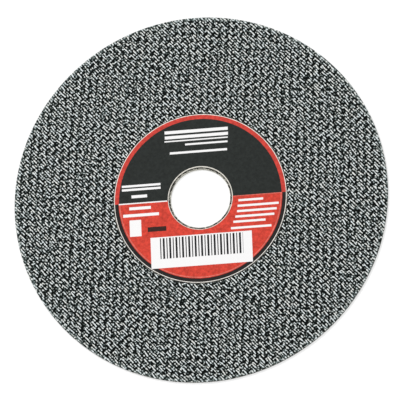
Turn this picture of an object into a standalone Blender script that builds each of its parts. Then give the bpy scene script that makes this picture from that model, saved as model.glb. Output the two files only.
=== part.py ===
"""Flat cut-off wheel for a hand grinder, lying on its back face with the paper label up.

The wheel is abrasive grit and resin, pressed and cured between two discs of woven glass mesh.
The mesh shows on both faces as crossing ridges with a shallow pit in each of its openings.
A round paper label sits in a pressed seat on the upper face, and the lower face has a plain
pressed seat round the bore for the inner flange.

Metres, +Z up. The origin is on the wheel's axis, at the level of the lower face's ridges.
"""

import math

import bmesh
import bpy
from mathutils import Matrix, Vector
from mathutils.geometry import delaunay_2d_cdt

# Wheel
WHEEL_DIAMETER = 0.1000
WHEEL_THICKNESS = 0.0010
BORE_DIAMETER = 0.0160
FLANGE_SEAT_DIAMETER = 0.0460

# Woven glass mesh in the faces. The one in the lower face is coarser by its scale.
WARP_PITCH = 0.00204
WEFT_PITCH = 0.00190
LOWER_MESH_SCALE = 1.19
WARP_SWAY = 0.00020
MESH_RELIEF = 0.00024
MESH_TURN = math.radians(-2.0)
RIM_EDGE_DROP = 0.00006

# Paper label
LABEL_DIAMETER = 0.0462
LABEL_BORDER_WIDTH = 0.0014
LABEL_TURN = math.radians(3.3)
LABEL_THICKNESS = 0.00020
LABEL_HOLE_MARGIN = 0.00050
LABEL_EDGE_CLEARANCE = 0.00030
LABEL_BACKING_GAP = 0.00010
LABEL_PROUD = 0.00005

# How finely round edges are divided. Each count divides by four, so the wheel measures its
# full diameter along X and along Y.
RIM_STEPS = 144
SEAT_STEPS = 96

# The mesh keeps this share of a pitch clear of each round edge, so that no thin faces form there.
EDGE_MARGIN = 0.36

# Round sides turn by less than this from face to face and are shaded smooth. Ridges turn by more.
SHARP_ANGLE = math.radians(12.0)


def clear_scene():
    for found in list(bpy.data.objects):
        bpy.data.objects.remove(found, do_unlink=True)


def finish_material(name, colour, roughness):
    """A material with the given linear colour and roughness, and no metal in it."""
    material = bpy.data.materials.new(name)
    material.use_nodes = True
    shader = material.node_tree.nodes["Principled BSDF"]
    shader.inputs["Base Color"].default_value = (*colour, 1.0)
    shader.inputs["Roughness"].default_value = roughness
    shader.inputs["Metallic"].default_value = 0.0
    material.diffuse_color = (*colour, 1.0)
    return material


def new_piece(name, bm, materials, parent):
    """An object made from the mesh, shaded smooth across its round sides only."""
    bmesh.ops.recalc_face_normals(bm, faces=bm.faces)
    mesh = bpy.data.meshes.new(name)
    bm.to_mesh(mesh)
    bm.free()
    mesh.shade_smooth()
    mesh.set_sharp_from_angle(angle=SHARP_ANGLE)
    for material in materials:
        mesh.materials.append(material)
    piece = bpy.data.objects.new(name, mesh)
    piece.parent = parent
    bpy.context.scene.collection.objects.link(piece)
    return piece


def circle_points(radius, steps):
    """Points of a circle about the axis, anticlockwise from +X."""
    turns = [2.0 * math.pi * step / steps for step in range(steps)]
    return [Vector((radius * math.cos(turn), radius * math.sin(turn))) for turn in turns]


def ring_of_verts(bm, radius, height, steps):
    return [bm.verts.new((point.x, point.y, height)) for point in circle_points(radius, steps)]


def join_rings(bm, first, second):
    """Quads between two rings with the same number of vertices, in the rings' order."""
    faces = []
    for i, start in enumerate(first):
        after = (i + 1) % len(first)
        faces.append(bm.faces.new((start, first[after], second[after], second[i])))
    return faces


def mesh_point(column, row):
    """The plan position of a point of the glass mesh, counted in pitches from the axis.

    A whole number of both is a crossing of two yarns. The warp yarns run along Y and sway to the
    left and right from one crossing to the next, as twisted pairs do.
    """
    sway = WARP_SWAY * math.cos(math.pi * row)
    unturned = Vector((WARP_PITCH * column + sway, WEFT_PITCH * row))
    return Matrix.Rotation(MESH_TURN, 2) @ unturned


def woven_plan(inner_radius, outer_radius, scale):
    """Plan of a woven face: its points, the depth of each below the ridges, and its triangles.

    The mesh is coarser than the real one by the given scale. The points begin with the outer
    circle and the inner circle. Ridges run from crossing to crossing, and each opening has one
    low point in its middle, so it is a four-sided pit.
    """
    points = circle_points(outer_radius, RIM_STEPS) + circle_points(inner_radius, SEAT_STEPS)
    depths = [RIM_EDGE_DROP] * RIM_STEPS + [0.0] * SEAT_STEPS
    edges = [(i, (i + 1) % RIM_STEPS) for i in range(RIM_STEPS)]
    edges += [(RIM_STEPS + i, RIM_STEPS + (i + 1) % SEAT_STEPS) for i in range(SEAT_STEPS)]

    margin = EDGE_MARGIN * scale * min(WARP_PITCH, WEFT_PITCH)
    reach = math.ceil(outer_radius / (scale * min(WARP_PITCH, WEFT_PITCH))) + 1
    crossings = {}
    for row in range(-reach, reach + 1):
        for column in range(-reach, reach + 1):
            for offset, depth in ((0.0, 0.0), (0.5, MESH_RELIEF)):
                point = scale * mesh_point(column + offset, row + offset)
                if not inner_radius + margin < point.length < outer_radius - margin:
                    continue
                if offset == 0.0:
                    crossings[column, row] = len(points)
                points.append(point)
                depths.append(depth)
    for (column, row), index in crossings.items():
        for neighbour in ((column + 1, row), (column, row + 1)):
            if neighbour in crossings:
                edges.append((index, crossings[neighbour]))

    made = delaunay_2d_cdt(points, edges, [], 0, 1e-7)
    places, triangles, sources = made[0], made[2], made[3]
    inside = []
    for triangle in triangles:
        middle = sum((places[i] for i in triangle), Vector((0.0, 0.0))) / 3.0
        if middle.length > inner_radius * math.cos(math.pi / SEAT_STEPS):
            inside.append(triangle)
    order = [source[0] for source in sources]
    return places, [depths[i] for i in order], order, inside


def woven_face(bm, inner_radius, outer_radius, height, scale, downwards):
    """Adds a woven face whose ridges lie at the given height. Returns its outer and inner rings."""
    places, depths, order, triangles = woven_plan(inner_radius, outer_radius, scale)
    side = 1.0 if downwards else -1.0
    verts = [
        bm.verts.new((place.x, place.y, height + side * depth))
        for place, depth in zip(places, depths)
    ]
    for triangle in triangles:
        bm.faces.new([verts[i] for i in triangle])
    by_source = {source: vert for source, vert in zip(order, verts)}
    outer = [by_source[i] for i in range(RIM_STEPS)]
    inner = [by_source[RIM_STEPS + i] for i in range(SEAT_STEPS)]
    return outer, inner


def build_disc(material, parent):
    """The moulded wheel: two woven faces, the label's seat, the bore and the flange's seat."""
    rim_radius = WHEEL_DIAMETER / 2.0
    bore_radius = BORE_DIAMETER / 2.0
    label_seat_radius = LABEL_DIAMETER / 2.0 + LABEL_EDGE_CLEARANCE
    label_seat_height = WHEEL_THICKNESS + LABEL_PROUD - LABEL_THICKNESS - LABEL_BACKING_GAP

    bm = bmesh.new()
    flange_seat_radius = FLANGE_SEAT_DIAMETER / 2.0
    upper_rim, upper_edge = woven_face(
        bm, label_seat_radius, rim_radius, WHEEL_THICKNESS, 1.0, downwards=False
    )
    lower_rim, lower_edge = woven_face(
        bm, flange_seat_radius, rim_radius, 0.0, LOWER_MESH_SCALE, downwards=True
    )
    label_seat = ring_of_verts(bm, label_seat_radius, label_seat_height, SEAT_STEPS)
    bore_top = ring_of_verts(bm, bore_radius, label_seat_height, SEAT_STEPS)
    bore_bottom = ring_of_verts(bm, bore_radius, 0.0, SEAT_STEPS)
    join_rings(bm, upper_rim, lower_rim)
    join_rings(bm, upper_edge, label_seat)
    join_rings(bm, label_seat, bore_top)
    join_rings(bm, bore_top, bore_bottom)
    join_rings(bm, bore_bottom, lower_edge)
    return new_piece("abrasive_disc", bm, [material], parent)


def print_halves(faces, upper, lower):
    """Gives the first half of a ring of faces one material and the second half another."""
    for i, face in enumerate(faces):
        face.material_index = upper if i < len(faces) // 2 else lower


def build_label(paper, dark_ink, red_ink, parent):
    """The paper label, a flat ring in its seat.

    It is printed in two half rounds, dark above and red below, each with a border of the other
    colour, and it was pressed on with the line between them a little out of level.
    """
    outer_radius = LABEL_DIAMETER / 2.0
    border_radius = outer_radius - LABEL_BORDER_WIDTH
    hole_radius = BORE_DIAMETER / 2.0 + LABEL_HOLE_MARGIN
    bm = bmesh.new()
    top_hole = ring_of_verts(bm, hole_radius, LABEL_THICKNESS, SEAT_STEPS)
    top_border = ring_of_verts(bm, border_radius, LABEL_THICKNESS, SEAT_STEPS)
    top_edge = ring_of_verts(bm, outer_radius, LABEL_THICKNESS, SEAT_STEPS)
    bottom_edge = ring_of_verts(bm, outer_radius, 0.0, SEAT_STEPS)
    bottom_hole = ring_of_verts(bm, hole_radius, 0.0, SEAT_STEPS)
    print_halves(join_rings(bm, top_hole, top_border), upper=1, lower=2)
    print_halves(join_rings(bm, top_border, top_edge), upper=2, lower=1)
    join_rings(bm, top_edge, bottom_edge)
    join_rings(bm, bottom_edge, bottom_hole)
    join_rings(bm, bottom_hole, top_hole)
    label = new_piece("paper_label", bm, [paper, dark_ink, red_ink], parent)
    label.location.z = WHEEL_THICKNESS + LABEL_PROUD - LABEL_THICKNESS
    label.rotation_euler.z = LABEL_TURN
    return label


def main():
    clear_scene()
    wheel = bpy.data.objects.new("cut_off_wheel", None)
    bpy.context.scene.collection.objects.link(wheel)
    resin = finish_material("resin_bonded_grit", (0.075, 0.078, 0.076), 0.85)
    paper = finish_material("label_paper", (0.72, 0.68, 0.60), 0.80)
    dark_ink = finish_material("dark_printing_ink", (0.022, 0.026, 0.024), 0.55)
    red_ink = finish_material("red_printing_ink", (0.62, 0.075, 0.055), 0.55)
    build_disc(resin, wheel)
    build_label(paper, dark_ink, red_ink, wheel)


if __name__ == "__main__":
    main()
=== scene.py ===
# %% [markdown]
# # A flat cut-off wheel
#
# A cut-off wheel is pressed from abrasive grains and resin between two discs of woven glass mesh,
# and cured hard. This one lies with its paper label up. The CAD model carries the sizes. This
# script gives it the looks: the slanting strands of the mesh, the grit between them, the rough
# rim and bore, and the printed label.

import math

import bmesh
import bpy
import numpy as np
from mathutils import Matrix, Vector
from mathutils.geometry import delaunay_2d_cdt


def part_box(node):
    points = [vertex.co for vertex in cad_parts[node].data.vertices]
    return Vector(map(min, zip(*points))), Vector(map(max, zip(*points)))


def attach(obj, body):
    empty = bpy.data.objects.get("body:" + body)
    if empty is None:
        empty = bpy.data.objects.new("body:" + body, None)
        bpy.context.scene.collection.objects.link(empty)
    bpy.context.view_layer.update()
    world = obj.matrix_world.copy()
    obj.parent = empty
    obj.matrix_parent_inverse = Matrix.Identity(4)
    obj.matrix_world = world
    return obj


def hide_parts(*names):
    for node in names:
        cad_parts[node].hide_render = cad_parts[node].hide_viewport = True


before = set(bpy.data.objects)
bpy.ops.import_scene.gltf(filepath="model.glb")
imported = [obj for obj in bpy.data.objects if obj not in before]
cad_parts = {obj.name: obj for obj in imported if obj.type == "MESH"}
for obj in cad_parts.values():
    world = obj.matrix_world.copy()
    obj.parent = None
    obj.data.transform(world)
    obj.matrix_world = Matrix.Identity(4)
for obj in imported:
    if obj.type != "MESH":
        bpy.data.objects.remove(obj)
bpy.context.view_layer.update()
print("CAD nodes:", sorted(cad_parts))

# %% [markdown]
# The outer sizes come from the boxes of the CAD nodes, so the looks fit the frame without any
# measuring by eye. A box doesn't tell how wide the bore and the seats are, or how far the two
# pieces stay apart, so these repeat the values of the CAD source. All shapes below are worked out
# in millimetres and turned into metres when a mesh is made.

# %% Sizes in millimetres
MM = 0.001
disc_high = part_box("abrasive_disc")[1]
label_low, label_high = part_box("paper_label")
WHEEL_RADIUS = disc_high.x / MM
WHEEL_THICKNESS = disc_high.z / MM
LABEL_RADIUS = label_high.x / MM
LABEL_BOTTOM = label_low.z / MM
LABEL_TOP = label_high.z / MM
BORE_RADIUS = 8.0
LABEL_HOLE_MARGIN = 0.5
LABEL_EDGE_CLEARANCE = 0.3
LABEL_BACKING_GAP = 0.1
LABEL_HOLE_RADIUS = BORE_RADIUS + LABEL_HOLE_MARGIN
LABEL_SEAT_RADIUS = LABEL_RADIUS + LABEL_EDGE_CLEARANCE
LABEL_SEAT_HEIGHT = LABEL_BOTTOM - LABEL_BACKING_GAP
FLANGE_SEAT_RADIUS = 23.0
print("wheel", 2 * WHEEL_RADIUS, "x", WHEEL_THICKNESS, "mm, label", 2 * LABEL_RADIUS, "mm")

# %% [markdown]
# The mesh is a leno weave: pairs of thin warp yarns twist round each flat weft yarn, so that it
# can't slide. Each pair makes a column of slanting strands. When the mesh was laid in the mould
# it was pulled a little unevenly, so its columns and rows curve. Two short polynomials hold this.
# They give the number of yarns from the middle to any point, across the wheel and down it. Their
# terms were fitted to the weave in the photograph.

# %% Where the yarns run
WARP_TERMS = np.array([24.424, 0.660, -0.088, -0.484, -0.196, 0.032, -0.314, 0.489, 0.072])
WEFT_TERMS = np.array([-1.587, 26.326, -0.124, -0.341, -0.273, -0.034, -0.419, 0.408, 0.123])
WARP_PITCH = WHEEL_RADIUS / WARP_TERMS[0]
WEFT_PITCH = WHEEL_RADIUS / WEFT_TERMS[1]
WALKS = 12


def yarn_counts(x, y):
    """The number of warp yarns and weft yarns from the middle to each point."""
    right = x / WHEEL_RADIUS
    down = -y / WHEEL_RADIUS
    squares = [right**2, right * down, down**2]
    cubes = [right**3, right**2 * down, right * down**2, down**3]
    terms = np.array([right, down, *squares, *cubes])
    return np.tensordot(WARP_TERMS, terms, 1), np.tensordot(WEFT_TERMS, terms, 1)


def yarn_places(warp, weft):
    """The points at which these counts are reached, found by walking closer a few times."""
    x = warp * WARP_PITCH
    y = -weft * WEFT_PITCH
    for _ in range(WALKS):
        reached_warp, reached_weft = yarn_counts(x, y)
        x = x + (warp - reached_warp) * WARP_PITCH
        y = y - (weft - reached_weft) * WEFT_PITCH
    return x, y


print("yarn pitch", round(WARP_PITCH, 2), "by", round(WEFT_PITCH, 2), "mm")

# %% [markdown]
# Each cell of the weave has the same few features, given by their place in the cell, slant,
# length and width. A strand stands up and shows pale, partly from its bare glass and partly from
# a painted highlight. A hollow is where the resin sank between the strands. No two cells came out
# alike, so a table of random numbers moves, turns, shortens and fades each feature a little. Its
# seed is fixed, so every run gives the same wheel.
# A mark draws six chances, and the sixth is spare.

# %% Marks that repeat in each cell
CELLS = 80
CHANCES = 6
STRAY_SPREAD = 0.22
TURN_SPREAD = 0.30
SHORTEST, LENGTH_SPREAD = 0.80, 0.30
FAINTEST, STRENGTH_SPREAD = 0.80, 0.20


def table_values(table, warp, weft):
    """The table's value for each cell, blended smoothly from one cell to the next."""
    column = np.floor(warp).astype(int)
    row = np.floor(weft).astype(int)
    right = warp - column
    down = weft - row
    right = right * right * (3 - 2 * right)
    down = down * down * (3 - 2 * down)
    value = 0.0
    for i, share_i in ((0, 1 - right), (1, right)):
        for j, share_j in ((0, 1 - down), (1, down)):
            value = value + share_i * share_j * table[(column + i) % CELLS, (row + j) % CELLS]
    return value


class Feature:
    """A long round-ended mark that repeats once in each cell. Lengths are in millimetres.

    Its amount is how far a strand rises, from 0 to 1, or how deep a hollow sinks.
    """

    def __init__(self, warp, weft, slant, length, width, amount, seed):
        self.warp = warp
        self.weft = weft
        self.slant = math.radians(slant)
        self.half_length = length / 2
        self.half_width = width / 2
        self.amount = amount
        self.chances = np.random.default_rng(seed).random((CELLS, CELLS, CHANCES))

    def distances(self, warp, weft):
        """From each point to the nearest mark: past its end, beside it, and how strong it is.

        The first two are counted in half widths, so the mark ends where they reach 1.
        """
        column = np.floor(warp - self.warp + 0.5).astype(int)
        row = np.floor(weft - self.weft + 0.5).astype(int)
        chance = self.chances[column % CELLS, row % CELLS]
        across = (warp - self.warp - column) * WARP_PITCH + STRAY_SPREAD * (chance[..., 0] - 0.5)
        down = (weft - self.weft - row) * WEFT_PITCH + STRAY_SPREAD * (chance[..., 1] - 0.5)
        slant = self.slant + TURN_SPREAD * (chance[..., 2] - 0.5)
        along = across * np.cos(slant) + down * np.sin(slant)
        aside = down * np.cos(slant) - across * np.sin(slant)
        share = SHORTEST + LENGTH_SPREAD * chance[..., 3]
        half_length = self.half_length * share - self.half_width
        past_end = np.maximum(np.abs(along) - half_length, 0.0)
        strength = FAINTEST + STRENGTH_SPREAD * chance[..., 4]
        return past_end / self.half_width, aside / self.half_width, strength


print("each mark has", CELLS * CELLS, "variants")

# %% [markdown]
# A long strand crosses over the weft, a short one follows it, and a third leads back the other
# way. Their places, slants and widths give one cell of the weave, and the yarns wander a little.
# The bond between them lies a little higher along each yarn and ripples with the strands.

# %% Strands and hollows of one cell
STRANDS = {
    "over_strand": Feature(-0.14, 0.51, 44, 2.10, 0.34, 0.74, seed=11),
    "next_strand": Feature(-0.08, 0.08, 36, 1.00, 0.34, 0.62, seed=12),
    "turn_strand": Feature(0.43, 0.36, -40, 0.90, 0.32, 0.52, seed=13),
}
HOLLOWS = [
    Feature(0.21, 0.14, 34, 1.00, 0.50, 0.13, seed=14),
    Feature(0.65, 0.48, 60, 1.00, 0.44, 0.09, seed=15),
    Feature(0.18, 0.53, 38, 1.50, 0.40, 0.06, seed=17),
]
WANDER_SPREAD = 0.12
WANDER = WANDER_SPREAD * (np.random.default_rng(16).random((2, CELLS, CELLS)) - 0.5)
MOST_SUNK = 0.24
BOND_DEPTH = 0.14
STRAND_DROP = 0.08
WEFT_LINE, WEFT_HALF_WIDTH, WEFT_RISE = 0.53, 0.45, 0.016
WARP_LINE, WARP_HALF_WIDTH, WARP_RISE = -0.12, 0.60, 0.010
RIPPLE = 0.020


def wandered(warp, weft):
    """The yarn counts after the yarns have strayed a little from their even places."""
    return warp + table_values(WANDER[0], warp, weft), weft + table_values(WANDER[1], warp, weft)


def relief(warp, weft):
    """Depth below the highest strands in millimetres."""
    from_weft = weft - WEFT_LINE
    from_warp = warp - WARP_LINE
    weft_away = (from_weft - np.round(from_weft)) * WEFT_PITCH / WEFT_HALF_WIDTH
    warp_away = (from_warp - np.round(from_warp)) * WARP_PITCH / WARP_HALF_WIDTH
    depth = BOND_DEPTH - WEFT_RISE * np.clip(1.0 - weft_away**2, 0.0, 1.0)
    depth = depth - WARP_RISE * np.clip(1.0 - warp_away**2, 0.0, 1.0)
    depth = depth - RIPPLE * np.cos(4 * math.pi * (from_weft - from_warp))
    for hollow in HOLLOWS:
        past_end, aside, strength = hollow.distances(warp, weft)
        depth = depth + hollow.amount * strength * np.clip(1 - past_end**2 - aside**2, 0, 1)
    for strand in STRANDS.values():
        past_end, aside, strength = strand.distances(warp, weft)
        rise = np.sqrt(np.clip(1 - past_end**2 - aside**2, 0, 1))
        top = STRAND_DROP * (1.0 - strand.amount * strength)
        depth = depth * (1.0 - rise) + top * rise
    return np.clip(depth, 0.0, MOST_SUNK)


print(len(STRANDS), "strands and", len(HOLLOWS), "hollows in a cell")

# %% [markdown]
# The faces of the wheel need a fine mesh, and a plain square grid would cut each slanting strand
# into steps. So the grid is sheared: its lines run with the strands, long steps along them and
# short steps across. It has a given number of steps along and across in each cell. At the rim and
# at the seat a narrow band of triangles joins the grid to an exact circle.

# %% Plan of a woven face: the grid
REACH = 28
GRID_MARGIN = 0.12


def sheared_grid(inner, outer, along, across):
    """Grid points with their yarn counts, and which of the grid's quads lie in the ring."""
    i = np.arange(-REACH * along, REACH * along + 1)
    j = np.arange(-REACH * (2 * across + 1), REACH * (2 * across + 1) + 1)
    i, j = np.meshgrid(i, j, indexing="ij")
    warp = i / along
    weft = (j + warp * (across + 1)) / across
    x, y = yarn_places(warp, np.clip(weft, -REACH, REACH))
    radius = np.hypot(x, y)
    inside = (radius > inner + GRID_MARGIN) & (radius < outer - GRID_MARGIN)
    inside &= np.abs(weft) < REACH
    quads = inside[:-1, :-1] & inside[1:, :-1] & inside[1:, 1:] & inside[:-1, 1:]
    return x, y, quads


def border_edges(quads, numbers):
    """Pairs of point numbers along the edge of the kept quads."""
    kept = np.pad(quads, 1)
    sideways = kept[1:-1, 1:] != kept[1:-1, :-1]
    upright = kept[1:, 1:-1] != kept[:-1, 1:-1]
    i, j = np.nonzero(sideways)
    pairs = [np.stack([numbers[i, j], numbers[i + 1, j]], 1)]
    i, j = np.nonzero(upright)
    pairs.append(np.stack([numbers[i, j], numbers[i, j + 1]], 1))
    return np.concatenate(pairs)


print("the grid reaches", REACH, "cells each way")


# %% Plan of a woven face: circles and the bands beside them
SEAT_STEPS = 480
RIM_STEPS = 2 * SEAT_STEPS
SAME_POINT = 1e-6


def circle(radius, steps):
    turns = np.arange(steps) * (2 * math.pi / steps)
    return np.stack([radius * np.cos(turns), radius * np.sin(turns)], 1)


def ring_edges(first, steps):
    numbers = np.arange(steps)
    return np.stack([first + numbers, first + (numbers + 1) % steps], 1)


def woven_plan(inner, outer, along, across):
    """Points and faces of a woven ring. The points end with the outer and the inner circle."""
    x, y, quads = sheared_grid(inner, outer, along, across)
    used = np.zeros(x.shape, bool)
    for di, dj in ((0, 0), (1, 0), (1, 1), (0, 1)):
        used[di : di + quads.shape[0], dj : dj + quads.shape[1]] |= quads
    numbers = np.full(x.shape, -1)
    numbers[used] = np.arange(used.sum())
    points = np.stack([x[used], y[used]], 1)
    i, j = np.nonzero(quads)
    corners = [numbers[i, j], numbers[i, j + 1], numbers[i + 1, j + 1], numbers[i + 1, j]]
    faces = np.stack(corners, 1).tolist()

    pairs = border_edges(quads, numbers)
    border = np.unique(pairs)
    circles = np.concatenate([circle(outer, RIM_STEPS), circle(inner, SEAT_STEPS)])
    band_points = np.concatenate([points[border], circles])
    band_numbers = np.concatenate([border, len(points) + np.arange(len(circles))])
    edges = np.concatenate(
        [
            np.searchsorted(border, pairs),
            ring_edges(len(border), RIM_STEPS),
            ring_edges(len(border) + RIM_STEPS, SEAT_STEPS),
        ]
    )
    made = delaunay_2d_cdt([Vector(p) for p in band_points], edges.tolist(), [], 0, SAME_POINT)
    triangles = np.array(made[2])
    order = np.array([source[0] for source in made[3]])
    triangles = band_numbers[order[triangles]]
    points = np.concatenate([points, circles])

    middle = points[triangles].mean(1)
    radius = np.hypot(middle[:, 0], middle[:, 1])
    warp, weft = yarn_counts(middle[:, 0], middle[:, 1])
    column = np.floor(warp * along).astype(int) + REACH * along
    row = np.floor(weft * across - warp * (across + 1)).astype(int) + REACH * (2 * across + 1)
    row = np.clip(row, 0, quads.shape[1] - 1)
    column = np.clip(column, 0, quads.shape[0] - 1)
    band = (radius > inner * math.cos(math.pi / SEAT_STEPS)) & ~quads[column, row]
    return points, faces + triangles[band].tolist()


print("circles of", RIM_STEPS, "and", SEAT_STEPS, "steps")

# %% [markdown]
# A woven face is a thin closed layer of its own: the relief on top, straight sides at the rim and
# at the seat, and a flat underside against the core. The distances to each strand are kept on the
# mesh as attributes. They change evenly between points, so the material can draw the strands much
# finer than the mesh is. The strands of neighbouring cells fall on common slanting lines, two to
# a cell. One more attribute keeps how far along its line a point lies and the line's number.

# %% Helpers that make a mesh object and keep attributes on it
COLLECTION = bpy.context.scene.collection


def make_piece(name, points, faces, sharp_angle):
    """An object from points in millimetres, closed, with its faces turned outwards."""
    mesh = bpy.data.meshes.new(name)
    mesh.from_pydata((np.asarray(points) * MM).tolist(), [], faces)
    bm = bmesh.new()
    bm.from_mesh(mesh)
    bmesh.ops.recalc_face_normals(bm, faces=bm.faces)
    open_edges = sum(not edge.is_manifold for edge in bm.edges)
    bm.to_mesh(mesh)
    bm.free()
    mesh.shade_smooth()
    mesh.set_sharp_from_angle(angle=math.radians(sharp_angle))
    piece = bpy.data.objects.new(name, mesh)
    COLLECTION.objects.link(piece)
    triangles = sum(len(face.vertices) - 2 for face in mesh.polygons)
    print(name, "has", triangles, "triangles and", open_edges, "open edges")
    return piece


def keep_on_points(piece, name, values):
    """Keeps a number or a vector for each point of the piece as an attribute."""
    kind, field = ("FLOAT", "value") if values.ndim == 1 else ("FLOAT_VECTOR", "vector")
    attribute = piece.data.attributes.new(name, kind, "POINT")
    attribute.data.foreach_set(field, values.ravel())


# %% Woven layers, front and back
LAYER_THICKNESS = 0.28
GRAIN_SPREAD = 0.02
STRAND_REACH = 2.4
FIRST_LINE = 0.30


def woven_layer(name, inner, along, across, seed):
    """A layer with its highest strands at z = 0, seen from above, in millimetres."""
    points, faces = woven_plan(inner, WHEEL_RADIUS, along, across)
    warp, weft = wandered(*yarn_counts(points[:, 0], points[:, 1]))
    grains = np.random.default_rng(seed).random(len(points)) - 0.5
    depth = relief(warp, weft) + GRAIN_SPREAD * grains
    depth = np.clip(depth, 0.0, MOST_SUNK + GRAIN_SPREAD)

    outer_top = len(points) - SEAT_STEPS - RIM_STEPS
    inner_top = len(points) - SEAT_STEPS
    outer_low = len(points)
    inner_low = outer_low + RIM_STEPS
    rings = points[outer_top:]
    low = np.column_stack([rings, np.full(len(rings), -LAYER_THICKNESS)])
    solid = np.concatenate([np.column_stack([points, -depth]), low])
    for k in range(RIM_STEPS):
        after = (k + 1) % RIM_STEPS
        faces.append([outer_top + k, outer_low + k, outer_low + after, outer_top + after])
    for k in range(SEAT_STEPS):
        after = (k + 1) % SEAT_STEPS
        faces.append([inner_top + k, inner_low + k, inner_low + after, inner_top + after])
        far = [outer_low + (2 * k + step) % RIM_STEPS for step in range(3)]
        faces.append([inner_low + k, far[0], far[1]])
        faces.append([inner_low + k, far[1], far[2], inner_low + after])

    layer = make_piece(name, solid, faces, 75)
    for strand_name, strand in STRANDS.items():
        past_end, aside, strength = strand.distances(warp, weft)
        strength = strand.amount * strength * (np.hypot(past_end, aside) < STRAND_REACH)
        on_top = np.stack([past_end, aside, strength], 1)
        keep_on_points(layer, strand_name, np.concatenate([on_top, np.zeros((len(low), 3))]))
    keep_on_points(layer, "sunk", np.concatenate([depth, np.full(len(low), MOST_SUNK / 2)]))
    keep_on_points(layer, "laid", solid)
    along_line = (warp * WARP_PITCH + weft * WEFT_PITCH) / math.sqrt(2)
    line_number = 2 * (weft - warp) - FIRST_LINE
    on_lines = np.stack([along_line, line_number, np.zeros_like(warp)], 1)
    keep_on_points(layer, "slanting", np.concatenate([on_lines, on_lines[outer_top:]]))
    return layer


front_layer = woven_layer("glass_mesh_front", LABEL_SEAT_RADIUS, along=6, across=9, seed=21)
front_layer.data.transform(Matrix.Translation((0, 0, WHEEL_THICKNESS * MM)))
back_layer = woven_layer("glass_mesh_back", FLANGE_SEAT_RADIUS, along=6, across=8, seed=22)
BACK_TURN = math.radians(37)
turned_over = Matrix.Rotation(BACK_TURN, 4, "Z") @ Matrix.Rotation(math.pi, 4, "Y")
back_layer.data.transform(turned_over)

# %% [markdown]
# Between the layers is the core of grit and resin. It shows at the rim, in the bore and at the
# seats. It is a profile turned round the axis, with the grains as small random steps. The profile
# is a list of corners, each with the number of steps from it to the next.

# %% Grit core
CORE_STEPS = 480
RIM_GRAIN = 0.10
BORE_GRAIN = 0.12
BACK_GRAIN = 0.06


def level_points(start, end, count):
    """Points from start to end, without the end."""
    share = np.arange(count)[:, None] / count
    return np.array(start) * (1 - share) + np.array(end) * share


def grit_core():
    front = WHEEL_THICKNESS - LAYER_THICKNESS
    back = LAYER_THICKNESS
    corners = [
        ((BORE_RADIUS, 0), 12),
        ((BORE_RADIUS, LABEL_SEAT_HEIGHT), 6),
        ((LABEL_SEAT_RADIUS, LABEL_SEAT_HEIGHT), 1),
        ((LABEL_SEAT_RADIUS, front), 1),
        ((WHEEL_RADIUS, front), 8),
        ((WHEEL_RADIUS, back), 1),
        ((FLANGE_SEAT_RADIUS, back), 1),
        ((FLANGE_SEAT_RADIUS, 0), 26),
    ]
    following = corners[1:] + corners[:1]
    profile = np.concatenate(
        [
            level_points(start, end, steps)
            for (start, steps), (end, _) in zip(corners, following)
        ]
    )
    count = len(profile)
    turns = np.arange(CORE_STEPS) * (2 * math.pi / CORE_STEPS)
    radius = np.repeat(profile[None, :, 0], CORE_STEPS, 0)
    height = np.repeat(profile[None, :, 1], CORE_STEPS, 0)
    grains = np.random.default_rng(31).random(radius.shape) - 0.5
    on_rim = (radius == WHEEL_RADIUS) & (height > back) & (height < front)
    in_bore = (radius == BORE_RADIUS) & (height > 0) & (height < LABEL_SEAT_HEIGHT)
    on_back = (height == 0) & (radius > BORE_RADIUS) & (radius < FLANGE_SEAT_RADIUS)
    radius = radius + RIM_GRAIN * grains * on_rim + BORE_GRAIN * np.abs(grains) * in_bore
    height = height + BACK_GRAIN * np.abs(grains) * on_back
    x = radius * np.cos(turns)[:, None]
    y = radius * np.sin(turns)[:, None]
    points = np.stack([x, y, height], -1).reshape(-1, 3)
    faces = []
    for step in range(CORE_STEPS):
        here = step * count
        after = (step + 1) % CORE_STEPS * count
        for k in range(count):
            up = (k + 1) % count
            faces.append([here + k, after + k, after + up, here + up])
    return make_piece("grit_core", points, faces, 45)


core = grit_core()

# %% [markdown]
# The label is a ring of paper. It was pressed on with the wheel, so the weave below shows through
# it as a faint waffle, which fades out in the last three rings of points at both edges.

# %% Paper label
LABEL_RINGS = 40
LABEL_STEPS = 360
FLAT_RINGS = 3
EMBOSSING = 0.018


def paper_label():
    shares = np.linspace(0, 1, LABEL_RINGS + 1)
    radii = LABEL_HOLE_RADIUS + (LABEL_RADIUS - LABEL_HOLE_RADIUS) * shares
    turns = np.arange(LABEL_STEPS) * (2 * math.pi / LABEL_STEPS)
    x = radii[:, None] * np.cos(turns)
    y = radii[:, None] * np.sin(turns)
    warp, weft = yarn_counts(x, y)
    waffle = np.cos(2 * math.pi * warp) + np.cos(2 * math.pi * weft)
    fade = np.minimum(shares, 1 - shares) * LABEL_RINGS / FLAT_RINGS
    waffle = waffle * np.clip(fade, 0, 1)[:, None]
    top = np.stack([x, y, LABEL_TOP - EMBOSSING + EMBOSSING * waffle / 2], -1)
    low = np.stack([x, y, np.full_like(x, LABEL_BOTTOM)], -1)[[0, -1]]
    points = np.concatenate([top.reshape(-1, 3), low.reshape(-1, 3)])
    faces = []
    low_inner = (LABEL_RINGS + 1) * LABEL_STEPS
    low_outer = low_inner + LABEL_STEPS
    ring_starts = [ring * LABEL_STEPS for ring in range(LABEL_RINGS + 1)]
    ring_starts += [low_outer, low_inner, 0]
    for start, after in zip(ring_starts, ring_starts[1:]):
        for k in range(LABEL_STEPS):
            beside = (k + 1) % LABEL_STEPS
            faces.append([start + k, start + beside, after + beside, after + k])
    return make_piece("paper_label_printed", points, faces, 40)


label = paper_label()

# %% [markdown]
# Colours are written as sRGB hex values, as a designer would pick them, and one function turns
# them into the linear values that Blender's shaders work in. A second one adds a node, sets it,
# joins its inputs and hands back the output that is asked for.

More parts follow.
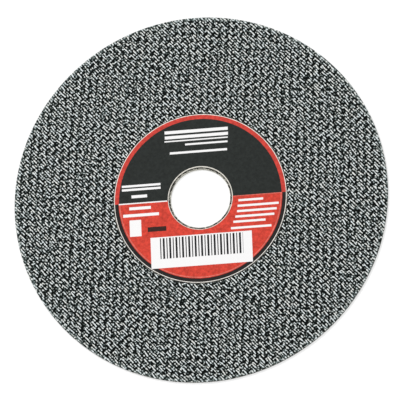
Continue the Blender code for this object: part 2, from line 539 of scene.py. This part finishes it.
# %% Colour and node helpers
def linear(hex_colour):
    """A linear RGBA colour from an sRGB hex value such as D64E42."""
    parts = [int(hex_colour[k : k + 2], 16) / 255 for k in (0, 2, 4)]
    return tuple(c / 12.92 if c <= 0.04045 else ((c + 0.055) / 1.055) ** 2.4 for c in parts) + (1,)


def new_material(name):
    """A material with only its output and a Principled shader, its node tree and that shader."""
    material = bpy.data.materials.new(name)
    material.use_nodes = True
    tree = material.node_tree
    return material, tree, tree.nodes["Principled BSDF"]


def add(tree, kind, links=None, out=None, **settings):
    """Adds a node. links gives each input a value, or a socket to join to it. out is an output."""
    node = tree.nodes.new(kind)
    for name, value in settings.items():
        setattr(node, name, value)
    for name, value in (links or {}).items():
        if isinstance(value, bpy.types.NodeSocket):
            tree.links.new(value, node.inputs[name])
        else:
            node.inputs[name].default_value = value
    return node if out is None else node.outputs[out]


# %% [markdown]
# ## Resin-bonded grit with glass mesh
#
# The bond is dark phenolic resin packed with grains of fused alumina about 0.35 mm wide. It is
# dull, because broken grains scatter the light, and the pores between them swallow it. Only the
# grains near the surface show, about twice their width apart, and the pressed mesh has set them
# loosely in its slanting lines. A Voronoi pattern gives such points: it is 0 at the middle of each
# grain and rises towards the next. Its points stray by half their randomness on the average, so
# the layout is shifted by as much to lie on the lines.

# %% Woven face: grains in the bond
GRAIN_SPACING = 0.72
GRAIN_SCATTER = 0.8
woven_face, tree, shader = new_material("resin_bonded_glass_mesh")
slanting = add(tree, "ShaderNodeAttribute", out="Vector", attribute_name="slanting")
grain_rows = add(
    tree,
    "ShaderNodeMapping",
    {
        "Vector": slanting,
        "Location": (0.0, -GRAIN_SCATTER / 2, 0.0),
        "Scale": (GRAIN_SPACING, 1.0, 1.0),
    },
    out="Vector",
    vector_type="TEXTURE",
)
grains = add(
    tree,
    "ShaderNodeTexVoronoi",
    {"Vector": grain_rows, "Scale": 1.0, "Randomness": GRAIN_SCATTER},
    voronoi_dimensions="2D",
)
grain_tone = add(
    tree,
    "ShaderNodeMapRange",
    {
        "Value": grains.outputs["Distance"],
        "From Min": 0.10,
        "From Max": 0.62,
        "To Min": 0.72,
        "To Max": 0.06,
    },
    out="Result",
)
print("grains stand", GRAIN_SPACING, "mm apart")

# %% [markdown]
# Glass yarn is a bundle of filaments. Where the resin over it is thin, a few of them show as pale
# streaks along the slanting lines, about 0.35 mm wide and 1 mm long. The same pattern gives them,
# drawn out along the lines.

# %% Woven face: streaks of filaments
STREAK_LENGTH = 1.5
STREAK_SCATTER = 0.6
along_lines = add(
    tree,
    "ShaderNodeMapping",
    {
        "Vector": slanting,
        "Location": (0.0, -STREAK_SCATTER / 2, 0.0),
        "Scale": (STREAK_LENGTH, 1.0, 1.0),
    },
    out="Vector",
    vector_type="TEXTURE",
)
streaks = add(
    tree,
    "ShaderNodeTexVoronoi",
    {"Vector": along_lines, "Scale": 1.0, "Randomness": STREAK_SCATTER},
    out="Distance",
    voronoi_dimensions="2D",
)
streak_tone = add(
    tree,
    "ShaderNodeMapRange",
    {"Value": streaks, "From Min": 0.10, "From Max": 0.62, "To Min": 0.21, "To Max": -0.21},
    out="Result",
)
print("streaks are", STREAK_LENGTH, "mm apart along the lines")

# %% [markdown]
# A strand is pale, partly where its glass lies bare and partly as a painted highlight, and a
# painted shadow runs along both its sides as a dark gap. One small ramp holds this, read across
# the strand. One of its tones means no change.

# %% Woven face: strands
NO_CHANGE = 0.3


def drawn_strand(name):
    """The tone that a strand adds at each point, with its painted highlight and painted shade, and
    how much of the strand is there.
    """
    distances = add(tree, "ShaderNodeAttribute", out="Vector", attribute_name=name)
    beside = add(
        tree,
        "ShaderNodeVectorMath",
        {0: distances, 1: (1.0, 1.0, 0.0)},
        out="Vector",
        operation="MULTIPLY",
    )
    away = add(tree, "ShaderNodeVectorMath", {0: beside}, out="Value", operation="LENGTH")
    strength = add(tree, "ShaderNodeSeparateXYZ", {"Vector": distances}, out="Z")
    share = add(
        tree, "ShaderNodeMath", {0: away, 1: 1 / STRAND_REACH}, out="Value", operation="MULTIPLY"
    )
    across = add(tree, "ShaderNodeValToRGB", {"Fac": share})
    # Painted highlight and shade: the ramp is white along the strand's middle and dark just outside
    # its sides.
    stops = across.color_ramp.elements
    stops[0].position, stops[0].color = 0.0, (1.0, 1.0, 1.0, 1.0)
    stops[1].position, stops[1].color = 1.0, (NO_CHANGE, NO_CHANGE, NO_CHANGE, 1.0)
    for place, level in ((0.22, 0.90), (0.46, 0.16), (0.58, 0.10), (0.80, 0.27)):
        stops.new(place).color = (level, level, level, 1.0)
    change = add(
        tree,
        "ShaderNodeMath",
        {0: across.outputs["Color"], 1: NO_CHANGE},
        out="Value",
        operation="SUBTRACT",
    )
    change = add(
        tree, "ShaderNodeMath", {0: change, 1: strength}, out="Value", operation="MULTIPLY"
    )
    there = add(
        tree,
        "ShaderNodeMapRange",
        {"Value": away, "From Min": 1.0, "From Max": 0.0, "To Max": strength},
        out="Result",
    )
    return change, there


strand_glass_highlight_and_shade, strand_there = drawn_strand("over_strand")
for name in ("next_strand", "turn_strand"):
    change, there = drawn_strand(name)
    strand_glass_highlight_and_shade = add(tree, "ShaderNodeMath", {0: strand_glass_highlight_and_shade, 1: change}, out="Value")
    strand_there = add(
        tree,
        "ShaderNodeMath",
        {0: strand_there, 1: there},
        out="Value",
        operation="MAXIMUM",
    )
print("strand nodes so far:", len(tree.nodes))

# %% [markdown]
# Another attribute says how deep the resin sank, and the hollows get a darker tone as painted
# shade. All the tones are added. In the last millimetre at the rim the mould squeezed grit over the
# ends of the mesh, so there the tone draws half way to one even grey. One ramp turns the tone into
# colour.

# %% Woven face: hollows, rim margin and colour
MARGIN_START, MARGIN_FULL = 1.2, 0.6
MARGIN_SHARE = 0.5
EVEN_GREY = 0.64
sunk = add(tree, "ShaderNodeAttribute", out="Fac", attribute_name="sunk")
# Painted shade: the deeper a point lies, the darker its tone.
hollow_painted_shade = add(
    tree,
    "ShaderNodeMapRange",
    {"Value": sunk, "From Min": 0.06, "From Max": 0.22, "To Min": 0.08, "To Max": -0.18},
    out="Result",
)
tone = grain_tone
for part in (streak_tone, strand_glass_highlight_and_shade, hollow_painted_shade):
    tone = add(tree, "ShaderNodeMath", {0: tone, 1: part}, out="Value")
laid = add(tree, "ShaderNodeAttribute", out="Vector", attribute_name="laid")
radius = add(tree, "ShaderNodeVectorMath", {0: laid}, out="Value", operation="LENGTH")
squeezed = add(
    tree,
    "ShaderNodeMapRange",
    {
        "Value": radius,
        "From Min": WHEEL_RADIUS - MARGIN_START,
        "From Max": WHEEL_RADIUS - MARGIN_FULL,
        "To Max": MARGIN_SHARE,
    },
    out="Result",
)
tone = add(tree, "ShaderNodeMix", {"Factor": squeezed, 2: tone, 3: EVEN_GREY}, out=0)
ramp = add(tree, "ShaderNodeValToRGB", {"Fac": tone})
for place, colour in ((0.26, "000403"), (0.49, "5F6A68"), (0.75, "FFFFFF")):
    stop = ramp.color_ramp.elements.new(place)
    stop.color = linear(colour)
ramp.color_ramp.elements.remove(ramp.color_ramp.elements[0])
ramp.color_ramp.elements.remove(ramp.color_ramp.elements[-1])
print("stops of the face's ramp:", [round(stop.position, 2) for stop in ramp.color_ramp.elements])

# %% [markdown]
# Single grains differ a little in hue, from bluish to yellowish grey. Raw glass and resin have an
# index of refraction near 1.5. The face is rough, and roughness is lower on the bare strands.

# %% Woven face: hue, roughness and fine bumps
hue = add(tree, "ShaderNodeSeparateColor", {"Color": grains.outputs["Color"]}, out="Red")
tint = add(
    tree,
    "ShaderNodeMix",
    {"Factor": hue, 6: linear("F1FAFC"), 7: linear("F9FAF5")},
    out=2,
    data_type="RGBA",
)
colour = add(
    tree,
    "ShaderNodeMix",
    {"Factor": 1.0, 6: ramp.outputs["Color"], 7: tint},
    out=2,
    data_type="RGBA",
    blend_type="MULTIPLY",
)
tree.links.new(colour, shader.inputs["Base Color"])
dullness = add(
    tree,
    "ShaderNodeMapRange",
    {"Value": strand_there, "From Min": 0.2, "From Max": 0.9, "To Min": 0.9, "To Max": 0.5},
    out="Result",
)
tree.links.new(dullness, shader.inputs["Roughness"])
fine = add(
    tree, "ShaderNodeTexNoise", {"Vector": laid, "Scale": 5.0, "Detail": 3.0}, out="Fac"
)
height = add(tree, "ShaderNodeMath", {0: fine, 1: strand_there}, out="Value")
bump = add(
    tree,
    "ShaderNodeBump",
    {"Height": height, "Strength": 0.4, "Distance": 0.08 * MM},
    out="Normal",
)
tree.links.new(bump, shader.inputs["Normal"])
shader.inputs["IOR"].default_value = 1.5
shader.inputs["Specular IOR Level"].default_value = 0.2
for layer in (front_layer, back_layer):
    layer.data.materials.append(woven_face)
print("woven face nodes:", len(tree.nodes))

# %% [markdown]
# ## Cut edge of the bond
#
# At the rim and in the bore the grains are cut through, and ends of glass yarn lie in the bond as
# short pale threads along the edge, flat rather than high. It looks lighter and a little yellower
# than the face.

# %% Core: grains and cut threads
CORE_GRAIN = 0.45
THREAD_HEIGHT = 0.30
grit_edge, tree, shader = new_material("cut_grit_and_resin")
in_metres = add(tree, "ShaderNodeTexCoord", out="Object")
in_mm = add(
    tree,
    "ShaderNodeVectorMath",
    {0: in_metres, "Scale": 1 / MM},
    out="Vector",
    operation="SCALE",
)
grains = add(
    tree, "ShaderNodeTexVoronoi", {"Vector": in_mm, "Scale": 1 / CORE_GRAIN, "Randomness": 0.9}
)
grain_tone = add(
    tree,
    "ShaderNodeMapRange",
    {
        "Value": grains.outputs["Distance"],
        "From Min": 0.15,
        "From Max": 0.70,
        "To Min": 0.75,
        "To Max": 0.15,
    },
    out="Result",
)
lying_flat = add(
    tree,
    "ShaderNodeMapping",
    {"Vector": in_mm, "Scale": (1.0, 1.0, THREAD_HEIGHT)},
    out="Vector",
    vector_type="TEXTURE",
)
threads = add(
    tree, "ShaderNodeTexNoise", {"Vector": lying_flat, "Scale": 1.0, "Detail": 2.0}, out="Fac"
)
thread_tone = add(
    tree,
    "ShaderNodeMapRange",
    {"Value": threads, "From Min": 0.32, "From Max": 0.68, "To Min": -0.30, "To Max": 0.30},
    out="Result",
)
tone = add(tree, "ShaderNodeMath", {0: grain_tone, 1: thread_tone}, out="Value")
print("grains of the core stand", CORE_GRAIN, "mm apart")

# %% [markdown]
# Only the rim and the bore are cut. The level seats are darker as painted shade: the tone drops
# where the surface faces up or down. The bore wall is lighter than the rim as painted light: the
# tone rises close to the bore.

# %% Core: seats, bore, colour and bumps
# Painted light on the bore wall starts this far outside the bore and is full from this distance
# inwards.
BORE_LIGHT_FROM, BORE_LIGHT_FULL = 0.22, 0.08
facing = add(tree, "ShaderNodeNewGeometry", out="Normal")
level = add(tree, "ShaderNodeSeparateXYZ", {"Vector": facing}, out="Z")
level = add(tree, "ShaderNodeMath", {0: level}, out="Value", operation="ABSOLUTE")
# Painted shade: surfaces that face up or down, the level seats, get a darker tone.
seat_painted_shade = add(
    tree,
    "ShaderNodeMapRange",
    {"Value": level, "From Min": 0.4, "From Max": 0.9, "To Max": -0.34},
    out="Result",
)
from_axis = add(
    tree,
    "ShaderNodeVectorMath",
    {0: in_mm, 1: (1.0, 1.0, 0.0)},
    out="Vector",
    operation="MULTIPLY",
)
from_axis = add(tree, "ShaderNodeVectorMath", {0: from_axis}, out="Value", operation="LENGTH")
# Painted light: the tone rises close to the bore, so the bore wall comes out lighter than the rim.
bore_painted_light = add(
    tree,
    "ShaderNodeMapRange",
    {
        "Value": from_axis,
        "From Min": BORE_RADIUS + BORE_LIGHT_FROM,
        "From Max": BORE_RADIUS + BORE_LIGHT_FULL,
        "To Max": 0.45,
    },
    out="Result",
)
for part in (seat_painted_shade, bore_painted_light):
    tone = add(tree, "ShaderNodeMath", {0: tone, 1: part}, out="Value")
ramp = add(tree, "ShaderNodeValToRGB", {"Fac": tone})
ramp.color_ramp.elements[0].position = 0.05
ramp.color_ramp.elements[0].color = linear("2A2A27")
ramp.color_ramp.elements[1].position = 0.95
ramp.color_ramp.elements[1].color = linear("EAE8DA")
tree.links.new(ramp.outputs["Color"], shader.inputs["Base Color"])
bump = add(
    tree, "ShaderNodeBump", {"Height": tone, "Strength": 0.5, "Distance": 0.1 * MM}, out="Normal"
)
tree.links.new(bump, shader.inputs["Normal"])
shader.inputs["Roughness"].default_value = 0.85
shader.inputs["IOR"].default_value = 1.5
shader.inputs["Specular IOR Level"].default_value = 0.3
core.data.materials.append(grit_edge)
print("core nodes:", len(tree.nodes))

# %% [markdown]
# ## Offset-printed paper
#
# The label is coated paper, printed in flat colours before it was punched out: a black upper half
# and a red lower half, each with a border of the other colour. A flat print is fields with crisp
# edges, so the shader works each field out from distances on the paper, and no picture is needed.
# The fields are blurred only by the ink's own edge, 0.03 mm to each side. The label was pressed on
# 3.3 degrees out of level, so its own axes are turned by that.

# %% Label: places on the paper
LABEL_TURN = math.radians(3.3)
INK_EDGE = 0.03
printed_paper, tree, shader = new_material("offset_printed_coated_paper")
in_metres = add(tree, "ShaderNodeTexCoord", out="Object")
on_paper = add(
    tree,
    "ShaderNodeMapping",
    {
        "Vector": in_metres,
        "Rotation": (0.0, 0.0, -LABEL_TURN),
        "Scale": (1 / MM, 1 / MM, 1 / MM),
    },
    out="Vector",
)
flat = add(
    tree,
    "ShaderNodeVectorMath",
    {0: on_paper, 1: (1.0, 1.0, 0.0)},
    out="Vector",
    operation="MULTIPLY",
)
from_middle = add(tree, "ShaderNodeVectorMath", {0: flat}, out="Value", operation="LENGTH")
print("label turned by", round(math.degrees(LABEL_TURN), 1), "degrees")


# %% Label: one printed box, one printed ring
def printed_box(centre, size):
    """1 inside a box on the paper and 0 outside it. Centre and size are in millimetres."""
    to_centre = add(
        tree,
        "ShaderNodeVectorMath",
        {0: flat, 1: (*centre, 0.0)},
        out="Vector",
        operation="SUBTRACT",
    )
    away = add(tree, "ShaderNodeVectorMath", {0: to_centre}, out="Vector", operation="ABSOLUTE")
    beyond = add(
        tree,
        "ShaderNodeVectorMath",
        {0: away, 1: (size[0] / 2, size[1] / 2, 0.0)},
        out="Vector",
        operation="SUBTRACT",
    )
    parts = add(tree, "ShaderNodeSeparateXYZ", {"Vector": beyond})
    furthest = add(
        tree,
        "ShaderNodeMath",
        {0: parts.outputs["X"], 1: parts.outputs["Y"]},
        out="Value",
        operation="MAXIMUM",
    )
    return add(
        tree,
        "ShaderNodeMapRange",
        {"Value": furthest, "From Min": INK_EDGE, "From Max": -INK_EDGE},
        out="Result",
    )


def printed_ring(inner, outer, distance=from_middle):
    """1 between two circles about the label's middle and 0 elsewhere."""
    to_ring = add(
        tree,
        "ShaderNodeMath",
        {0: distance, 1: (inner + outer) / 2},
        out="Value",
        operation="SUBTRACT",
    )
    away = add(tree, "ShaderNodeMath", {0: to_ring}, out="Value", operation="ABSOLUTE")
    half = (outer - inner) / 2
    return add(
        tree,
        "ShaderNodeMapRange",
        {"Value": away, "From Min": half + INK_EDGE, "From Max": half - INK_EDGE},
        out="Result",
    )


# %% [markdown]
# The plain white bars of the print are set out in a list, with the middle and the size of each.
# A loop joins their boxes with the greater of the two, which is 1 wherever any of them is. The
# first box is the large panel in the red half.

# %% Label: white bars and panel
WHITE_BARS = [
    ((-0.4, 18.65), (17.0, 0.85)),
    ((-0.4, 17.25), (17.0, 0.85)),
    ((-0.5, 16.2), (17.0, 0.35)),
    ((2.2, 15.05), (11.4, 0.5)),
    ((0.0, 12.9), (15.4, 0.6)),
    ((-15.7, 4.7), (10.4, 0.6)),
    ((-15.7, 3.7), (10.4, 0.6)),
    ((-16.3, 1.75), (4.2, 0.8)),
    ((-15.4, -0.1), (13.0, 0.32)),
    ((-16.2, -1.5), (5.8, 0.8)),
    ((-16.0, -3.4), (9.6, 0.8)),
    ((-17.6, -6.95), (3.1, 4.5)),
    ((13.5, -1.4), (6.6, 0.6)),
    ((15.4, -2.9), (11.0, 0.6)),
    ((15.0, -4.35), (10.6, 0.6)),
    ((14.4, -5.8), (10.4, 0.6)),
    ((12.9, -7.2), (8.6, 0.6)),
    ((13.3, -8.9), (10.8, 0.6)),
]
WHITE_PANEL = ((-0.15, -14.15), (27.1, 8.5))
white_fields = printed_box(*WHITE_PANEL)
for bar in WHITE_BARS:
    white_fields = add(
        tree,
        "ShaderNodeMath",
        {0: white_fields, 1: printed_box(*bar)},
        out="Value",
        operation="MAXIMUM",
    )
print(len(WHITE_BARS), "white bars and a panel")

# %% [markdown]
# On the panel, wide and narrow dark stripes take turns. A ping-pong of the place across the label
# is 0 at each wide stripe and greatest at each narrow one.

# %% Label: stripes on the panel
STRIPE_PITCH = 1.70
WIDE_HALF = 0.26
NARROW_HALF = 0.14
STRIPE_FIELD = ((-0.1, -13.05), (22.2, 5.7))
across = add(tree, "ShaderNodeSeparateXYZ", {"Vector": flat}, out="X")
swing = add(
    tree, "ShaderNodeMath", {0: across, 1: STRIPE_PITCH / 2}, out="Value", operation="PINGPONG"
)
wide = add(
    tree,
    "ShaderNodeMapRange",
    {"Value": swing, "From Min": WIDE_HALF + INK_EDGE, "From Max": WIDE_HALF - INK_EDGE},
    out="Result",
)
narrow = add(
    tree,
    "ShaderNodeMapRange",
    {
        "Value": swing,
        "From Min": STRIPE_PITCH / 2 - NARROW_HALF - INK_EDGE,
        "From Max": STRIPE_PITCH / 2 - NARROW_HALF + INK_EDGE,
    },
    out="Result",
)
stripes = add(tree, "ShaderNodeMath", {0: wide, 1: narrow}, out="Value", operation="MAXIMUM")
stripe_field = printed_box(*STRIPE_FIELD)
stripes = add(
    tree, "ShaderNodeMath", {0: stripes, 1: stripe_field}, out="Value", operation="MULTIPLY"
)
print("stripes", STRIPE_PITCH, "mm apart")

# %% [markdown]
# The colours go down one after another, as on a press, so each mix node lays one over what is
# there already. The first two are thin paler lines in the red, close beside the black. The box of
# the upper half is larger than the label and ends just below its middle. The last two are the bare
# paper at the cut edges. The hole was punched a little beside the middle of the print, so its pale
# edge is wider at the top.

# %% Label: inks in printing order
EDGE = LABEL_RADIUS
HOLE_OFFSET = (0.02, 0.07)
UPPER_HALF = ((0.0, 49.95), (100.0, 100.0))
to_hole = add(
    tree,
    "ShaderNodeVectorMath",
    {0: flat, 1: (*HOLE_OFFSET, 0.0)},
    out="Vector",
    operation="SUBTRACT",
)
from_hole = add(tree, "ShaderNodeVectorMath", {0: to_hole}, out="Value", operation="LENGTH")
upper_half = printed_box(*UPPER_HALF)
red_border = add(
    tree,
    "ShaderNodeMath",
    {0: upper_half, 1: printed_ring(EDGE - 1.30, EDGE)},
    out="Value",
    operation="MULTIPLY",
)
INKS = [
    (printed_ring(EDGE - 1.60, EDGE - 1.35), "E07468"),
    (printed_box((15.5, -0.15), (13.0, 0.20)), "E07468"),
    (upper_half, "272B29"),
    (printed_ring(EDGE - 1.17, EDGE), "262221"),
    (red_border, "D0443A"),
    (white_fields, "FFFEFE"),
    (stripes, "1A1C1E"),
    (printed_box((-11.86, -7.58), (5.0, 1.3)), "3A2420"),
    (printed_ring(EDGE - 0.17, EDGE + 1.0), "FAF6EE"),
    (printed_ring(0.0, LABEL_HOLE_RADIUS + 0.21, from_hole), "E6E2D8"),
]
colour = linear("D84536")
for mask, ink in INKS:
    colour = add(
        tree,
        "ShaderNodeMix",
        {"Factor": mask, 6: colour, 7: linear(ink)},
        out=2,
        data_type="RGBA",
    )
print(len(INKS), "inks in order")

# %% [markdown]
# Ink doesn't cover such paper quite evenly: it lies thicker in some spots than in others, somewhat
# less than a millimetre apart. A noise pattern darkens and lightens it a little. Bare white is
# left as it is.

# %% Label: uneven ink
patches = add(
    tree,
    "ShaderNodeTexNoise",
    {"Vector": on_paper, "Scale": 1.3, "Detail": 3.0, "Roughness": 0.7},
    out="Fac",
)
cover = add(
    tree,
    "ShaderNodeMapRange",
    {"Value": patches, "From Min": 0.3, "From Max": 0.7, "To Min": 0.7, "To Max": 1.3},
    out="Result",
)
inked = add(tree, "ShaderNodeMath", {0: 1.0, 1: white_fields}, out="Value", operation="SUBTRACT")
colour = add(
    tree,
    "ShaderNodeMix",
    {"Factor": inked, 6: colour, 7: cover},
    out=2,
    data_type="RGBA",
    blend_type="MULTIPLY",
)
tree.links.new(colour, shader.inputs["Base Color"])
print("colour nodes of the label:", len(tree.nodes))

# %% [markdown]
# Coated paper has an index of refraction near 1.5 and is half matt. Its fibres give it a faint
# unevenness, a few tenths of a millimetre across.

# %% Label: surface
fibres = add(
    tree, "ShaderNodeTexNoise", {"Vector": on_paper, "Scale": 3.0, "Detail": 3.0}, out="Fac"
)
bump = add(
    tree,
    "ShaderNodeBump",
    {"Height": fibres, "Strength": 0.25, "Distance": 0.03 * MM},
    out="Normal",
)
tree.links.new(bump, shader.inputs["Normal"])
shader.inputs["Roughness"].default_value = 0.6
shader.inputs["IOR"].default_value = 1.5
shader.inputs["Specular IOR Level"].default_value = 0.12
label.data.materials.append(printed_paper)
print("label nodes:", len(tree.nodes))

# %% [markdown]
# ## Fitting the pieces to the frame
#
# Nothing on the wheel moves, so every piece rides on the root. Both woven layers and the core stand
# in for the moulded disc, and the printed paper for the label.

# %% Rides and replacements
for piece in (front_layer, back_layer, core):
    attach(piece, "root")
    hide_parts("abrasive_disc")
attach(label, "root")
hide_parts("paper_label")
print("pieces on the root:", front_layer.name, back_layer.name, core.name, label.name)

# %% [markdown]
# ## Floor, light and camera
#
# The wheel lies on a plain matt floor. To the camera and in glossy reflections the floor glows, so
# it is as white as the room, while the soft light it throws back at the wheel stays that of grey
# paint. It lies a hair below the wheel, so that the two never share a face.

# %% Floor
FLOOR_HALF = 3
FLOOR_DROP = 0.02
FLOOR_GLOW = 0.62
around = [(-FLOOR_HALF, -FLOOR_HALF, 0), (FLOOR_HALF, -FLOOR_HALF, 0)]
around += [(FLOOR_HALF, FLOOR_HALF, 0), (-FLOOR_HALF, FLOOR_HALF, 0)]
floor_mesh = bpy.data.meshes.new("floor")
floor_mesh.from_pydata(around, [], [(0, 1, 2, 3)])
floor = bpy.data.objects.new("floor", floor_mesh)
floor.location.z = -FLOOR_DROP * MM
COLLECTION.objects.link(floor)
floor_paint, tree, shader = new_material("matt_white_studio_floor")
path = add(tree, "ShaderNodeLightPath")
seen = add(
    tree,
    "ShaderNodeMath",
    {0: path.outputs["Is Camera Ray"], 1: path.outputs["Is Glossy Ray"]},
    out="Value",
    operation="MAXIMUM",
)
glow = add(tree, "ShaderNodeMath", {0: seen, 1: FLOOR_GLOW}, out="Value", operation="MULTIPLY")
tree.links.new(glow, shader.inputs["Emission Strength"])
shader.inputs["Base Color"].default_value = linear("B8B8B8")
shader.inputs["Roughness"].default_value = 1.0
shader.inputs["Emission Color"].default_value = (1, 1, 1, 1)
floor_mesh.materials.append(floor_paint)
print("floor", 2 * FLOOR_HALF, "m wide")

# %% [markdown]
# One square softbox stands behind and to the left, and the white room fills in the rest. The room
# is full white where the camera sees it, and lights the wheel with a share of that.

# %% Soft light
LAMP_SIZE = 0.30
LAMP_POWER = 4.4
LAMP_PLACE = (-0.32, 0.36, 0.90)
ROOM_LIGHT = 0.60
lamp_data = bpy.data.lights.new("softbox", "AREA")
lamp_data.shape = "SQUARE"
lamp_data.size = LAMP_SIZE
lamp_data.energy = LAMP_POWER
lamp = bpy.data.objects.new("softbox", lamp_data)
lamp.location = Vector(LAMP_PLACE)
lamp.rotation_euler = (-lamp.location).to_track_quat("-Z", "Y").to_euler()
COLLECTION.objects.link(lamp)

world = bpy.data.worlds.new("studio_room")
bpy.context.scene.world = world
world.use_nodes = True
sky = world.node_tree
room = sky.nodes["Background"]
path = add(sky, "ShaderNodeLightPath")
seen = add(
    sky,
    "ShaderNodeMath",
    {0: path.outputs["Is Camera Ray"], 1: path.outputs["Is Transmission Ray"]},
    out="Value",
    operation="MAXIMUM",
)
level = add(
    sky, "ShaderNodeMapRange", {"Value": seen, "To Min": ROOM_LIGHT, "To Max": 1.0}, out="Result"
)
sky.links.new(level, room.inputs["Strength"])
room.inputs["Color"].default_value = (1, 1, 1, 1)
print("softbox of", LAMP_POWER, "watts, room at", ROOM_LIGHT)

# %% [markdown]
# The camera looks down steeply, and not quite from the foot of the label but from 30 degrees
# beside it. It is rolled back by the same angle, so the label stands nearly upright in the picture.
# It stands far off with a long lens, so the near and the far side are drawn to almost the same
# scale. The picture is 400 pixels wide, and the wheel lies a pixel or so off its middle.

# %% Camera
ELEVATION = math.radians(72.6)
AZIMUTH = math.radians(30.28)
cos_a, sin_a = math.cos(AZIMUTH), math.sin(AZIMUTH)
cos_e, sin_e = math.cos(ELEVATION), math.sin(ELEVATION)
towards = Vector((sin_a * cos_e, -cos_a * cos_e, sin_e))
level_line = Vector((cos_a, sin_a, 0.0))
fall_line = Vector((sin_a * sin_e, -cos_a * sin_e, -cos_e))
right = cos_a * level_line + sin_a * fall_line
up = sin_a * level_line - cos_a * fall_line
DISTANCE = 1.5
VIEW_WIDTH = 106.0 * MM
SENSOR_WIDTH = 36.0
PICTURE_PIXELS = 400
OFF_RIGHT, OFF_UP = 0.50, 1.40
camera_data = bpy.data.cameras.new("camera")
camera_data.sensor_width = SENSOR_WIDTH
camera_data.lens = SENSOR_WIDTH * DISTANCE / VIEW_WIDTH
camera_data.clip_start = 0.1
camera = bpy.data.objects.new("camera", camera_data)
pixel = VIEW_WIDTH / PICTURE_PIXELS
middle = Vector((0, 0, WHEEL_THICKNESS * MM / 2))
middle = middle - OFF_RIGHT * pixel * right - OFF_UP * pixel * up
camera.matrix_world = Matrix.Translation(middle + DISTANCE * towards) @ Matrix(
    (right, up, towards)
).transposed().to_4x4()
COLLECTION.objects.link(camera)
bpy.context.scene.camera = camera
bpy.context.scene.view_settings.view_transform = "Standard"
print("camera", DISTANCE, "m away, lens", round(camera_data.lens), "mm")
